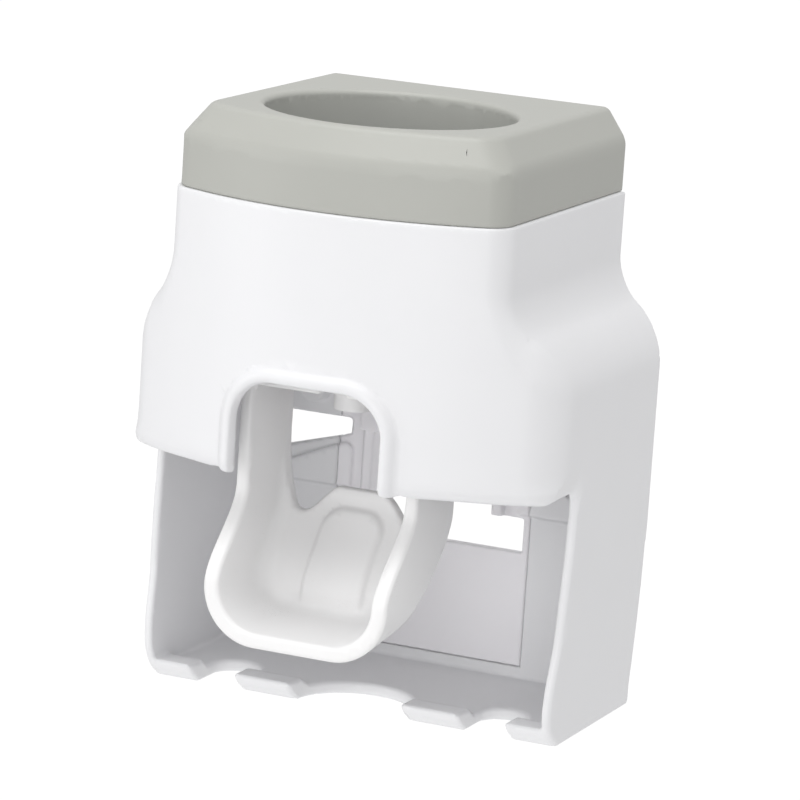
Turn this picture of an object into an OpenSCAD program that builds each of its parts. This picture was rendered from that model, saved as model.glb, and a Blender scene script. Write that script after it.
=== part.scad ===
// Wall-hung toothpaste dispenser with a push lever and a toothbrush tray, in millimetres.
// X runs across, +Y points at the wall and +Z points up.
// Heights are measured from the underside of the tray, and depths from the wall towards the front.
// The last step, hung(), moves the origin to the middle of the pad that sticks to the wall.

/* [Housing] */
// Width across the shoulders
body_w = 105; // [98:0.5:112]
// Depth at the middle of the curved front
body_d = 82; // [80:0.5:88]
// Radius of the curved front, seen from above
front_r = 80; // [76:1:100]
// Width of the narrower upper part
neck_w = 81.6; // [76:0.2:86]
// Height of the housing's top rim
rim_z = 121; // [118:0.5:126]
// Height where the shoulders meet the upper part
shoulder_top_z = 100.2; // [97:0.2:104]
// Height of the outer ridge of the shoulders
shoulder_low_z = 89.3; // [84:0.1:92]
// Height of the lower edge of the hood over the tray
skirt_z = 59; // [54:0.5:60]
// Wall thickness of the housing
wall = 2.2; // [1.8:0.1:2.8]
// Rounding of the upright edges of the upper part
neck_corner_r = 4; // [3:0.5:6]
// Rounding of the upright edges of the wide part
body_corner_r = 6.5; // [4:0.5:9]
// Width of the lip along the front of the hood, underneath
flange_w = 4; // [3:0.5:10.5]

/* [Arch] */
// Width of the opening in the front
arch_w = 35.6; // [32:0.2:37]
// Height of the top of the opening
arch_top_z = 81.7; // [79:0.1:84]
// Rounding of the upper corners of the opening
arch_r = 9.5; // [7:0.5:12]
// Width of the raised bead round the opening
bead_w = 3.3; // [2:0.1:4]
// How far the bead stands proud of the front
bead_h = 1.6; // [0.8:0.1:2]

/* [Tray] */
// How far each side wall leans in from the shoulders to the foot
foot_lean = 1.5; // [0:0.1:3]
// Depth of the side walls just under the hood
side_top_d = 47.5; // [46:0.5:50]
// Depth of the side walls near the foot
side_low_d = 51; // [49:0.5:53]
// Rounding of the lower front corner of the side walls
nose_r = 9.5; // [5:0.5:10]
// Thickness of the tray floor
floor_t = 3; // [2.4:0.1:3.6]
// Depth of the tray floor, to the front of its hooks
floor_d = 46.5; // [45:0.5:48]
// Height of the hooks that stop a brush from sliding out
hook_h = 5.2; // [4.4:0.1:6]
// Width of each toothbrush slot
slot_w = 11.2; // [9:0.2:12]
// Distance of each toothbrush slot from the middle
slot_x = 34; // [33:0.5:36]
// Length of each toothbrush slot
slot_l = 16; // [13:0.5:18]
// Radius of the round cut in the middle of the tray
cut_r = 13.9; // [11:0.1:15]

/* [Back] */
// Room behind the back panel for the wall plate
back_gap = 2.4; // [2:0.1:3]
// Thickness of the back panel
back_t = 2.5; // [2:0.1:3]
// Width of the separate back plate
plate_w = 49.8; // [49:0.2:51]
// Height of the back plate's lower edge
plate_low_z = 5.9; // [5:0.1:7]
// Height of the back plate's upper edge
plate_top_z = 98; // [97:0.5:100]
// Height of the lower edge of the window in the back plate
window_low_z = 33.2; // [30:0.2:36]
// Height up to which that window is wide
window_mid_z = 41.5; // [40:0.5:44]
// Width of the wide part of that window
window_w = 46.6; // [42:0.2:47]
// Width of the narrow part of that window
window_neck_w = 31.2; // [31:0.2:33]
// Height of the upper edge of the two side windows
vent_top_z = 59; // [58:0.2:61]
// Height of the side windows at their inner ends
vent_h = 3.8; // [3:0.1:5]
// Height of the side windows at their outer ends
vent_outer_h = 9.5; // [7:0.1:10]

/* [Wall hanger] */
// Height of the middle of the wall plate
mount_z = 78; // [77:0.5:79]
// Width of the wall plate
hanger_w = 40; // [36:0.5:41]
// Height of the wall plate
hanger_h = 36; // [32:0.5:38]
// Thickness of the sticky pad
pad_t = 1; // [0.6:0.1:1.1]
// Width of the head of the hanger's rail
rail_w = 30; // [26:0.5:30]
// Width of the neck of the hanger's rail
rail_neck_w = 23; // [18:0.5:24]
// Height of the hanger's rail
rail_h = 20; // [16:0.5:20]
// Thickness of the rail's head
rail_t = 2.1; // [1.6:0.1:2.4]
// Clearance round the rail in its channel
rail_gap = 0.4; // [0.25:0.05:0.6]

/* [Collar] */
// Height of the collar above the rim
collar_h = 19; // [16:0.5:22]
// Height of the sloped band round the top
slope_h = 7; // [5:0.5:8]
// How far the sloped band leans in
slope_in = 5; // [3:0.5:6]
// Step between the housing's face and the collar's face
ledge = 0.8; // [0.4:0.1:1]
// Diameter of the hole that takes the toothpaste tube
hole_d = 56.8; // [52:0.2:58]
// Distance of that hole's middle behind the middle of the housing's front
hole_setback = 37.3; // [37:0.1:39]
// Length of the sleeve round that hole
sleeve_l = 16; // [12:0.5:18]
// Length of the collar's lip inside the housing
spigot_l = 5; // [3:0.5:6]

/* [Lever] */
// Outer width of the lever
lever_w = 44.8; // [44:0.2:46]
// Wall thickness of the lever
lever_t = 3.1; // [2.6:0.1:3.1]
// Height of the lever's underside
cup_low_z = 21; // [19:0.5:24]
// Rounding of the cup's lower corners, seen from the front
cup_r = 13; // [10:0.5:14]
// Distance of the arms' front edges behind the middle of the housing's front
arm_setback = 14.5; // [14:0.1:15]
// Width of the arms, from their front edges to their rear edges
arm_w = 22.3; // [21.5:0.1:24]
// How far the front of the cup reaches beyond the arms
cup_reach = 13.8; // [10:0.1:14]
// How far the back of the cup leans forward of the arms
cup_lean = 11.8; // [9:0.1:12]
// Height of the hump in the middle of the cup's rear wall
hump_z = 52.8; // [50:0.1:54]
// Height of the dips beside that hump
dip_z = 46.4; // [45:0.1:48]
// Height of the hinge line
pivot_z = 97; // [96:0.2:98]
// Radius of the round ends of the arms
boss_r = 9; // [8:0.5:9.5]
// Height of the lower edge of the cross bar
bar_low_z = 77.7; // [77:0.1:79]
// Thickness of the cross bar
bar_t = 3.2; // [2.6:0.1:3.2]

/* [Pump] */
// Distance of the pump's axis below the hinge line
pump_drop = 14; // [13:0.2:15]
// Radius of the pump's bore
bore_r = 8; // [7:0.1:8]
// Wall thickness of the pump
pump_wall = 2.5; // [2:0.1:2.6]
// Radius of the hollow stem
stem_r = 5; // [4.5:0.1:5]
// Running clearance of the stem and the pins
run_gap = 0.05; // [0.03:0.01:0.08]
// Radius of the channel that the paste flows through
duct_r = 2.5; // [2:0.1:2.6]
// Length of the pump's barrel behind the middle of its bay
barrel_rear_l = 8.55; // [7.55:0.1:8.55]
// Distance of the pump's front wall behind the arms' front edges
pump_setback = 24; // [23.6:0.1:24.4]
// Length of the piston's head
piston_l = 6; // [5:0.5:6]
// Distance of the spout's outlet behind the arms' front edges
spout_setback = 12.5; // [12:0.1:13]
// Height of the spout's lower end
spout_low_z = 73; // [72:0.2:75]
// Radius of the spout's outlet tube
spout_r = 4.5; // [4:0.1:4.8]
// Radius of the spring's coil, to the middle of the wire
coil_r = 5.9; // [5:0.1:6.2]
// Radius of the spring's wire
wire_r = 0.55; // [0.4:0.05:0.6]
// Number of the spring's turns
coil_turns = 5; // [4:1:7]
// Radius of the hinge pins
pin_r = 2.5; // [2:0.1:2.8]
// Radius of the bushes in the arms
bush_r = 4; // [3.6:0.1:4.4]
// Radius of the screw threads
screw_r = 1.25; // [1:0.05:1.4]
// Radius of the screw heads
head_r = 2.8; // [2.4:0.1:2.8]

/* [Hidden] */
$fn = 64;

white = [0.95, 0.95, 0.96];
inner_white = [0.88, 0.87, 0.89];
warm_grey = [0.71, 0.71, 0.69];
silicone = [0.9, 0.93, 0.95];
steel = [0.75, 0.76, 0.78];
foam = [0.35, 0.36, 0.38];

eps = 0.1;
fit_gap = 0.1;
front_y = front_r - body_d;
body_hw = body_w / 2;
neck_hw = neck_w / 2;
foot_hw = body_hw - foot_lean;
side_wall = 2;
floor_hw = foot_hw - side_wall;
hole_y = body_d - hole_setback;
hood_split_d = 55;
back_d = back_gap + back_t;
screw_gap = 0.35;

// Back plate and its windows
plate_hw = plate_w / 2;
opening_top_z = plate_top_z + fit_gap;
vent_in_x = 22.2;
vent_out_x = 42;
panel_x = 22.5;
panel_h = 1.2;
panel_gap = 1.6;
guide_w = 3.2;
guide_h = 2;
ear_x = 36;
ear_low_z = 62;
ear_high_z = 96;
ear_t = back_gap - 0.6;
back_screw_x = 31;
back_screw_z = [66, 92];
head_t = 1.1;
back_boss_d = back_d + 5;

// Wall hanger
hanger_t = back_gap - pad_t - 0.2;
hanger_front_d = pad_t + hanger_t;
rail_back_d = back_d + 0.2;
rail_front_d = rail_back_d + rail_t;
rail_low_z = mount_z - rail_h / 2 - 2;
rail_top_z = rail_low_z + rail_h;
pocket_low_z = 57.5;
pocket_top_z = rail_top_z + 4;
pocket_hw = rail_w / 2 + 3.5;
pocket_front_d = rail_front_d + rail_gap + 2;

// Collar
collar_hw = neck_hw - ledge;
collar_top_z = rim_z + collar_h;
slope_low_z = collar_top_z - slope_h;
collar_wall = 2.2;
collar_top_t = 2.5;
sleeve_wall = 1.2;
corner_skim = 0.03;
spigot_inset = wall + 0.2 - ledge;
spigot_wall = 1.6;

// Lever
arm_front_d = body_d - arm_setback;
arm_back_d = arm_front_d - arm_w;
pivot_d = (arm_front_d + arm_back_d) / 2 + 0.15;
lever_hw = lever_w / 2;
arm_in_x = lever_hw - lever_t;
cup_floor_z = cup_low_z + lever_t;
cup_front_d = arm_front_d + cup_reach;
heel_r = 8;
heel_rise = 3.5;
heel_d = arm_back_d + cup_lean + heel_r;
dip_x = 13.5;
hump_hw = 5;
rim_bend_z = hump_z + 1.7;
lip_h = 14.6;
arm_low_z = hump_z + 7.2;
floor_slope = heel_rise / (cup_front_d - heel_d);
notch_w = 6.4;
notch_h = 2.5;
bar_top_z = pivot_z - 8;
bar_back_d = arm_front_d - bar_t;
pad_hw = 8.8;
pad_top_z = dip_z + 1.8;
pad_h = 1.4;
bush_flange_t = 0.5;
cheek_out_x = arm_in_x - bush_flange_t - fit_gap;

// Pump
pump_front_d = arm_front_d - pump_setback;
pump_back_d = (pocket_front_d + pump_front_d) / 2 - barrel_rear_l;
spout_d = arm_front_d - spout_setback;
pump_z = pivot_z - pump_drop;
pump_r = bore_r + pump_wall;
pump_nose_d = pump_front_d + pump_wall;
piston_front_d = pump_front_d - fit_gap;
piston_back_d = piston_front_d - piston_l;
cap_spigot_l = 3.5;
cap_in_d = pump_back_d + cap_spigot_l;
cheek_in_x = cheek_out_x - 4.6;
inlet_r = 7;
inlet_low_z = pump_z + 12;
inlet_top_z = pump_z + 21;
inlet_wall = 4;
neck_low_z = pump_z + bore_r;
valve_setback = 6.5;
valve_d = cap_in_d + valve_setback;
valve_web_t = 2;
valve_seat_z = inlet_low_z - valve_web_t;
valve_r = 4.6;
valve_t = 0.8;
valve_stem_r = 1.2;
post_x = 14;
post_r = 3.5;
lug_t = 3.5;
stroke = 3.85;
spout_body_r = stem_r + 1.5;
spout_back_d = pump_nose_d + stroke + fit_gap;
button_r = 3.5;
button_front_d = bar_back_d - 0.2;
stem_end_d = spout_d - 1;
outlet_r = spout_r - 1.5;
pin_in_x = cheek_in_x + 0.5;
pin_out_x = lever_hw + 1.8;
clip_t = 0.8;
seal_l = 3;
seal_groove = 1.8;

// Moves the origin from the foot of the object to the middle of the wall pad.
module hung() {
  translate([0, 0, -mount_z]) children();
}

// Stretches a front view, drawn as x and height, between two depths.
module front_view(d0, d1) {
  translate([0, -d0, 0]) rotate([90, 0, 0]) linear_extrude(d1 - d0) children();
}

// Stretches a side view, drawn as y and height, between two x positions.
module side_view(x0, x1) {
  translate([x0, 0, 0]) rotate([90, 0, 90]) linear_extrude(x1 - x0) children();
}

module box(x0, x1, d0, d1, z0, z1) {
  translate([x0, -d1, z0]) cube([x1 - x0, d1 - d0, z1 - z0]);
}

// A round bar from one depth to another.
module rod_y(d0, d1, r, x, z) {
  translate([x, -d0, z]) rotate([90, 0, 0]) cylinder(h = d1 - d0, r = r);
}

// A round bar along X, at a depth and a height.
module rod_x(x0, x1, r, d, z) {
  translate([x0, -d, z]) rotate([0, 90, 0]) cylinder(h = x1 - x0, r = r);
}

module both_sides() {
  children();
  mirror([1, 0, 0]) children();
}

// A curve that leaves and arrives level, for t from 0 to 1.
function ease(t) = t <= 0 ? 0 : t >= 1 ? 1 : t * t * (3 - 2 * t);
function steps(from, to, count) = [for (i = [0:count]) from + (to - from) * i / count];
function arc(cx, cy, r, a0, a1, count) = [for (a = steps(a0, a1, count)) [cx + r * cos(a), cy + r * sin(a)]];

// The plan of the housing: a straight back, a front that is one arc, and rounded front corners.
// The front arc is kept between the rays that run from its centre through the corners' centres.
module plan(half_w, corner_r, inset = 0, back = 0) {
  r = front_r - inset;
  corner = max(corner_r - inset, 1);
  cx = half_w - inset - corner;
  cy = front_y - sqrt(pow(r - corner, 2) - cx * cx);
  hw = half_w - inset;
  union() {
    intersection() {
      translate([0, front_y]) circle(r = r, $fn = 180);
      polygon([for (p = [[-0.9, 0.9], [0.9, 0.9], [2, 2], [-2, 2]])
        [p[0] * cx, front_y + p[1] * (cy - front_y)]]);
    }
    for (side = [-1, 1]) translate([side * cx, cy]) circle(r = corner, $fn = 48);
    translate([-hw, cy]) square([2 * hw, -back - cy]);
  }
}

// The front view of the whole housing, drawn in by a wall thickness.
module outline(inset, low, high) {
  foot = foot_hw - inset;
  hw = body_hw - inset;
  neck = neck_hw - inset;
  drop = inset * 0.42;
  polygon([
    [-foot, low], [foot, low], [foot, 5], [hw, 45], [hw, shoulder_low_z - drop],
    [neck, shoulder_top_z - drop], [neck, high], [-neck, high], [-neck, shoulder_top_z - drop],
    [-hw, shoulder_low_z - drop], [-hw, 45], [-foot, 5]
  ]);
}

// The hood: the upper part and the wide part, as one block drawn in by a wall thickness.
module hood(inset, low, high, back) {
  drop = inset * 0.42;
  union() {
    translate([0, 0, low]) linear_extrude(high - low) plan(neck_hw, neck_corner_r, inset, back);
    intersection() {
      translate([0, 0, low]) linear_extrude(shoulder_top_z - drop - low)
        plan(body_hw, body_corner_r, inset, back);
      front_view(-1, body_d + 1) outline(inset, low - 1, high + 1);
    }
  }
}

// The arch in the front view, grown by a margin.
module arch(margin, low) {
  hw = arch_w / 2 + margin;
  r = arch_r + margin;
  top = arch_top_z + margin;
  union() {
    translate([-hw, low]) square([2 * hw, top - r - low]);
    translate([r - hw, low]) square([2 * (hw - r), top - low]);
    for (side = [-1, 1]) translate([side * (hw - r), top - r]) circle(r = r);
  }
}

module bead() {
  intersection() {
    front_view(body_d - 20, body_d + 10) difference() {
      arch(bead_w, skirt_z);
      arch(0, skirt_z - 1);
    }
    translate([0, front_y, skirt_z]) difference() {
      cylinder(h = 60, r = front_r + bead_h, $fn = 180);
      translate([0, 0, -1]) cylinder(h = 62, r = front_r - wall / 2, $fn = 180);
    }
  }
}

// The side view of the tray: straight walls whose lower front corner is round.
module tray_side() {
  polygon(concat(
    [[0, 0]],
    arc(nose_r - side_low_d, nose_r, nose_r, 270, 180, 12),
    [[-side_low_d, 14], [-side_top_d - 1.5, 30], [-side_top_d, skirt_z + 1], [0, skirt_z + 1]]
  ));
}

// The side view of the floor's front edge, which rises in a hook.
module hook_side() {
  tip_r = 1.2;
  under_r = 3.2;
  polygon(concat(
    [[-35, 0]],
    arc(under_r - floor_d, under_r, under_r, 270, 180, 8),
    arc(tip_r - floor_d, hook_h - tip_r, tip_r, 180, 90, 6),
    [[-floor_d + 2.6, hook_h], [-floor_d + 8, floor_t], [-35, floor_t]]
  ));
}

// The two side walls and the floor with its hooks, as one block.
module lower_block() {
  difference() {
    union() {
      difference() {
        intersection() {
          side_view(-body_hw, body_hw) tray_side();
          front_view(-1, body_d) outline(0, 0, skirt_z + 2);
        }
        intersection() {
          front_view(back_d, body_d) outline(side_wall, floor_t, skirt_z + 5);
          box(-body_hw, body_hw, back_d, body_d, floor_t, skirt_z + 5);
        }
        box(-floor_hw, floor_hw, floor_d - 4, body_d, -1, floor_t + 1);
      }
      side_view(-foot_hw + 1, foot_hw - 1) hook_side();
    }
    for (side = [-1, 1]) {
      translate([side * slot_x, slot_l - floor_d - slot_w / 2, -1]) cylinder(h = hook_h + 2, d = slot_w);
      box(side * slot_x - slot_w / 2, side * slot_x + slot_w / 2,
          floor_d - slot_l + slot_w / 2, body_d, -1, hook_h + 1);
    }
    translate([0, 2 - floor_d, -1]) cylinder(h = hook_h + 2, r = cut_r);
    box(-cut_r, cut_r, floor_d - 2, body_d, -1, hook_h + 1);
  }
}

// One side window: its lower edge slopes down towards the outside.
module vent() {
  polygon([
    [vent_in_x, vent_top_z], [vent_out_x, vent_top_z],
    [vent_out_x, vent_top_z - vent_outer_h], [vent_in_x, vent_top_z - vent_h]
  ]);
}

module vents() {
  both_sides() front_view(-1, back_d + 5) vent();
}

// A shallow raised panel beside the window, which stiffens the back, between two x positions.
module side_panel(x0, x1) {
  intersection() {
    front_view(back_d - eps, back_d + panel_h) polygon([
      [panel_x, window_mid_z + 1], [vent_out_x, window_mid_z + 1],
      [vent_out_x, vent_top_z - vent_outer_h - panel_gap],
      [panel_x + 2, vent_top_z - vent_h - panel_gap - 0.5],
      [panel_x, vent_top_z - vent_h - panel_gap - 2.5]
    ]);
    box(x0, x1, 0, back_d + 2 * panel_h, 0, rim_z);
  }
}

// The hood's walls, open underneath behind the flange, before the arch is cut.
module hood_shell() {
  difference() {
    hood(0, skirt_z, rim_z, 0);
    hood(wall, skirt_z + wall, rim_z + 1, back_d);
    translate([0, 0, skirt_z - 1]) linear_extrude(wall + 2)
      plan(body_hw + flange_w - wall, body_corner_r + flange_w, flange_w, back_d);
  }
}

// This and the next four make up the housing. They meet face to face on flat planes.
module hood_front() {
  color(white) hung() difference() {
    union() {
      intersection() {
        hood_shell();
        box(-body_hw, body_hw, hood_split_d, body_d, skirt_z, rim_z);
      }
      bead();
    }
    front_view(body_d - 22, body_d + 20) arch(0, skirt_z - 5);
  }
}

module hood_sides() {
  color(white) hung() intersection() {
    hood_shell();
    box(-body_hw, body_hw, back_d, hood_split_d, skirt_z, rim_z);
  }
}

module side_walls() {
  color(white) hung() both_sides() intersection() {
    lower_block();
    box(floor_hw, body_hw, back_d, body_d, 0, skirt_z);
  }
}

module tray() {
  color(white) hung() intersection() {
    lower_block();
    box(-floor_hw, floor_hw, back_d, body_d, 0, skirt_z);
  }
}

module back_frame() {
  color(white) hung() difference() {
    union() {
      intersection() {
        union() {
          hood_shell();
          lower_block();
        }
        box(-body_hw, body_hw, 0, back_d, 0, rim_z);
      }
      both_sides() side_panel(plate_hw + fit_gap, vent_out_x);
      for (z = back_screw_z) both_sides() rod_y(back_d - eps, back_boss_d, post_r, back_screw_x, z);
    }
    front_view(-1, back_gap) outline(wall, floor_t, rim_z - wall);
    box(-plate_hw - fit_gap, plate_hw + fit_gap, -1, back_d + 1, plate_low_z - fit_gap, opening_top_z);
    vents();
    for (z = back_screw_z) both_sides() rod_y(0, back_boss_d - 1, screw_r, back_screw_x, z);
  }
}

// The window in the back plate: wide below, and narrow above where the wall hanger enters.
module window() {
  wide = window_w / 2;
  narrow = window_neck_w / 2;
  polygon([
    [-wide, window_low_z], [wide, window_low_z], [wide, window_mid_z], [narrow, window_mid_z],
    [narrow, pocket_low_z], [-narrow, pocket_low_z], [-narrow, window_mid_z], [-wide, window_mid_z]
  ]);
}

module back_plate() {
  channel_hw = rail_w / 2 + rail_gap;
  slot_hw = rail_neck_w / 2 + rail_gap;
  color(inner_white) hung() difference() {
    union() {
      box(-plate_hw, plate_hw, back_gap, back_d, plate_low_z, plate_top_z);
      box(-pocket_hw, pocket_hw, back_d - eps, pocket_front_d, pocket_low_z, pocket_top_z);
      both_sides() box(hanger_w / 2 + 1, ear_x, back_gap - ear_t, back_gap, ear_low_z, ear_high_z);
      both_sides() rod_y(pocket_front_d - eps, pump_back_d, post_r, post_x, pump_z);
      both_sides() box(window_neck_w / 2, window_neck_w / 2 + guide_w, back_d - eps, back_d + guide_h,
                       window_mid_z, pocket_low_z + 1);
      both_sides() side_panel(panel_x, plate_hw);
    }
    front_view(-1, back_d + 1) window();
    vents();
    box(-channel_hw, channel_hw, back_d, rail_front_d + rail_gap, pocket_low_z - 1, rail_top_z + fit_gap);
    box(-slot_hw, slot_hw, back_gap - 1, back_d + 1, pocket_low_z - 1, rail_top_z + fit_gap);
    both_sides() rod_y(pocket_front_d + 1, pump_back_d + 1, screw_r, post_x, pump_z);
    for (z = back_screw_z) both_sides() {
      rod_y(-1, back_gap + 1, screw_r + screw_gap, back_screw_x, z);
      rod_y(-1, back_gap - ear_t + head_t + fit_gap, head_r + fit_gap, back_screw_x, z);
    }
  }
}

// A pan-head screw that points at the wall or away from it, with a cross in its head.
module screw(head_d, seat_d, tip_d, x, z) {
  low = min(head_d, seat_d);
  high = max(head_d, seat_d);
  start = head_d < seat_d ? head_d - 1 : head_d - 0.6;
  difference() {
    union() {
      rod_y(low, high, head_r, x, z);
      rod_y(min(seat_d, tip_d), max(seat_d, tip_d), screw_r, x, z);
    }
    box(x - 1.8, x + 1.8, start, start + 1.6, z - 0.35, z + 0.35);
    box(x - 0.35, x + 0.35, start, start + 1.6, z - 1.8, z + 1.8);
  }
}

module back_screws() {
  head_d = back_gap - ear_t;
  color(steel) hung() for (z = back_screw_z) both_sides()
    screw(head_d, head_d + head_t, back_boss_d - 1.5, back_screw_x, z);
}

module pump_screws() {
  seat_d = pump_back_d + lug_t;
  color(steel) hung() both_sides() screw(seat_d + 1.6, seat_d, pocket_front_d + 1.5, post_x, pump_z);
}

module wall_plate() {
  hw = hanger_w / 2;
  r = 4;
  color(white) hung() union() {
    difference() {
      box(-hw, hw, pad_t, hanger_front_d, mount_z - hanger_h / 2, mount_z + hanger_h / 2);
      for (sx = [-1, 1], sz = [-1, 1]) difference() {
        translate([sx * hw, 0, mount_z + sz * hanger_h / 2]) cube([2 * r, 20, 2 * r], center = true);
        rod_y(-1, 20, r, sx * (hw - r), mount_z + sz * (hanger_h / 2 - r));
      }
    }
    box(-rail_neck_w / 2, rail_neck_w / 2, hanger_front_d - eps, rail_front_d, rail_low_z, rail_top_z);
    box(-rail_w / 2, rail_w / 2, rail_back_d, rail_front_d, rail_low_z, rail_top_z);
  }
}

module adhesive_pad() {
  hw = hanger_w / 2 - 1;
  hh = hanger_h / 2 - 1;
  r = 3;
  color(foam) hung() front_view(0, pad_t) translate([0, mount_z]) union() {
    square([2 * (hw - r), 2 * hh], center = true);
    square([2 * hw, 2 * (hh - r)], center = true);
    for (sx = [-1, 1], sz = [-1, 1]) translate([sx * (hw - r), sz * (hh - r)]) circle(r = r);
  }
}

// The collar's outer block: upright faces, then a band that slopes in at the front and the sides.
// The corner rounds stand out by corner_skim, so that they cross their neighbours at an angle.
module collar_block(inset, high) {
  hw = collar_hw - inset;
  reach = front_r - ledge - inset;
  lean = slope_in / slope_h;
  knee = slope_low_z - inset * 0.6;
  above = high + 1;
  lean_in = (above - knee) * lean;
  intersection() {
    translate([0, 0, rim_z]) linear_extrude(high - rim_z)
      plan(neck_hw, neck_corner_r, ledge + inset - corner_skim, inset);
    front_view(-1, body_d + 1) polygon([
      [-hw, rim_z - 1], [hw, rim_z - 1], [hw, knee], [hw - lean_in, above], [lean_in - hw, above], [-hw, knee]
    ]);
    translate([0, front_y, 0]) rotate_extrude($fn = 180) polygon([
      [0, rim_z - 1], [reach, rim_z - 1], [reach, knee], [reach - lean_in, above], [0, above]
    ]);
  }
}

module top_collar() {
  color(warm_grey) hung() difference() {
    union() {
      difference() {
        collar_block(0, collar_top_z);
        translate([0, 0, -eps]) collar_block(collar_wall, collar_top_z - collar_top_t);
      }
      translate([0, 0, rim_z - spigot_l]) linear_extrude(spigot_l + 3) difference() {
        plan(neck_hw, neck_corner_r, ledge + spigot_inset, back_d + 0.2);
        plan(neck_hw, neck_corner_r, ledge + spigot_inset + spigot_wall, back_d + 0.2 + spigot_wall);
      }
      translate([0, 0, rim_z + eps]) linear_extrude(2) difference() {
        plan(neck_hw, neck_corner_r, ledge + 0.5, 0.5);
        plan(neck_hw, neck_corner_r, ledge + spigot_inset + spigot_wall, back_d + 0.2 + spigot_wall);
      }
      translate([0, -hole_y, collar_top_z - sleeve_l])
        cylinder(h = sleeve_l - 1, d = hole_d + 2 * sleeve_wall);
    }
    translate([0, -hole_y, rim_z - 20]) cylinder(h = collar_h + 40, d = hole_d, $fn = 96);
  }
}

// The soft funnel that grips the shoulder of the toothpaste tube.
module tube_seat() {
  neck = inlet_r - fit_gap / 2;
  skin = 1.6;
  base = inlet_top_z + fit_gap;
  cone_h = 12;
  cone_r = 20;
  color(silicone) hung() translate([0, -hole_y, 0]) rotate_extrude() polygon([
    [neck - skin, base - 7.5], [neck, base - 7.5], [neck, base], [neck + 4, base], [neck + 4.6, base + 1.8],
    [cone_r, base + cone_h], [cone_r, base + cone_h + 2], [cone_r - skin, base + cone_h + 2],
    [cone_r - skin, base + cone_h + 0.6], [neck + 2.6, base + 2.2], [neck - skin, base]
  ]);
}

// One ear of the pump, which carries a hinge pin.
module cheek() {
  side_view(cheek_in_x, cheek_out_x) union() {
    polygon([
      [-pump_nose_d + 12, pump_z + 3], [-pump_nose_d, pump_z - 2], [-pivot_d - 5, pivot_z - 2],
      [-pivot_d + 5, pivot_z + 3], [-pump_nose_d + 12, neck_low_z + 3]
    ]);
    translate([-pivot_d, pivot_z]) circle(r = 5.4);
  }
}

module pump_body() {
  color(white) hung() difference() {
    union() {
      rod_y(pump_back_d, pump_nose_d, pump_r, 0, pump_z);
      translate([0, -hole_y, neck_low_z]) cylinder(h = inlet_top_z - neck_low_z, r = inlet_r + inlet_wall);
      box(-7, 7, valve_d - 7, hole_y, pump_z + 4, inlet_low_z + 6);
      box(-cheek_out_x, cheek_out_x, pump_nose_d - 16, pump_nose_d - 4, pump_z + 5, neck_low_z + 1);
      both_sides() cheek();
      box(-post_x - post_r, post_x + post_r, pump_back_d, pump_back_d + lug_t, pump_z - 5, pump_z + 5);
    }
    rod_y(pump_back_d - 1, pump_front_d, bore_r, 0, pump_z);
    rod_y(pump_front_d - 1, pump_nose_d + 1, stem_r + run_gap, 0, pump_z);
    translate([0, -hole_y, inlet_low_z]) cylinder(h = 30, r = inlet_r);
    box(-3, 3, valve_d - 3.5, hole_y, inlet_low_z, inlet_low_z + 3.5);
    translate([0, -valve_d, pump_z]) cylinder(h = valve_seat_z - pump_z, r = valve_r + 0.4);
    translate([0, -valve_d, pump_z]) cylinder(h = 13, r = valve_stem_r);
    for (a = [45:90:315]) translate([2.6 * cos(a), 2.6 * sin(a) - valve_d, pump_z]) cylinder(h = 13, r = 0.8);
    both_sides() rod_y(pump_back_d - 1, pump_back_d + lug_t + 1, screw_r + screw_gap, post_x, pump_z);
    both_sides() rod_x(cheek_in_x - 1, cheek_out_x + 1, pin_r, pivot_d, pivot_z);
  }
}

module pump_rear_cap() {
  groove_d = pump_back_d + 1;
  color(inner_white) hung() difference() {
    union() {
      rod_y(pump_back_d - 2.5, pump_back_d, bore_r + 1.5, 0, pump_z);
      rod_y(pump_back_d - eps, cap_in_d, bore_r - fit_gap / 2, 0, pump_z);
    }
    difference() {
      rod_y(groove_d, groove_d + 1.6, bore_r + 1, 0, pump_z);
      rod_y(groove_d - 1, groove_d + 3, bore_r - seal_groove, 0, pump_z);
    }
    box(-4, 4, pump_back_d - 4, pump_back_d - 1.2, pump_z - 0.8, pump_z + 0.8);
  }
}

module cap_seal() {
  color(silicone) hung() difference() {
    rod_y(pump_back_d + 1, pump_back_d + 2.6, bore_r - 0.02, 0, pump_z);
    rod_y(pump_back_d, pump_back_d + 4, bore_r - seal_groove, 0, pump_z);
  }
}

// The piston and its hollow stem, which are one moulding.
module piston() {
  groove_d = piston_back_d + 1.5;
  color(inner_white) hung() difference() {
    union() {
      rod_y(piston_back_d, piston_front_d, bore_r - 0.3, 0, pump_z);
      rod_y(piston_front_d - eps, stem_end_d, stem_r, 0, pump_z);
    }
    difference() {
      rod_y(groove_d, groove_d + seal_l, bore_r + 1, 0, pump_z);
      rod_y(groove_d - 1, groove_d + seal_l + 1, bore_r - seal_groove, 0, pump_z);
    }
    rod_y(piston_back_d - 1, stem_end_d + 1, duct_r, 0, pump_z);
  }
}

module piston_seal() {
  groove_d = piston_back_d + 1.5;
  color(silicone) hung() difference() {
    rod_y(groove_d, groove_d + seal_l, bore_r - run_gap, 0, pump_z);
    rod_y(groove_d - 1, groove_d + seal_l + 1, bore_r - seal_groove, 0, pump_z);
    difference() {
      rod_y(groove_d + 1, groove_d + 2, bore_r + 1, 0, pump_z);
      rod_y(groove_d, groove_d + 3, bore_r - 0.6, 0, pump_z);
    }
  }
}

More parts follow.
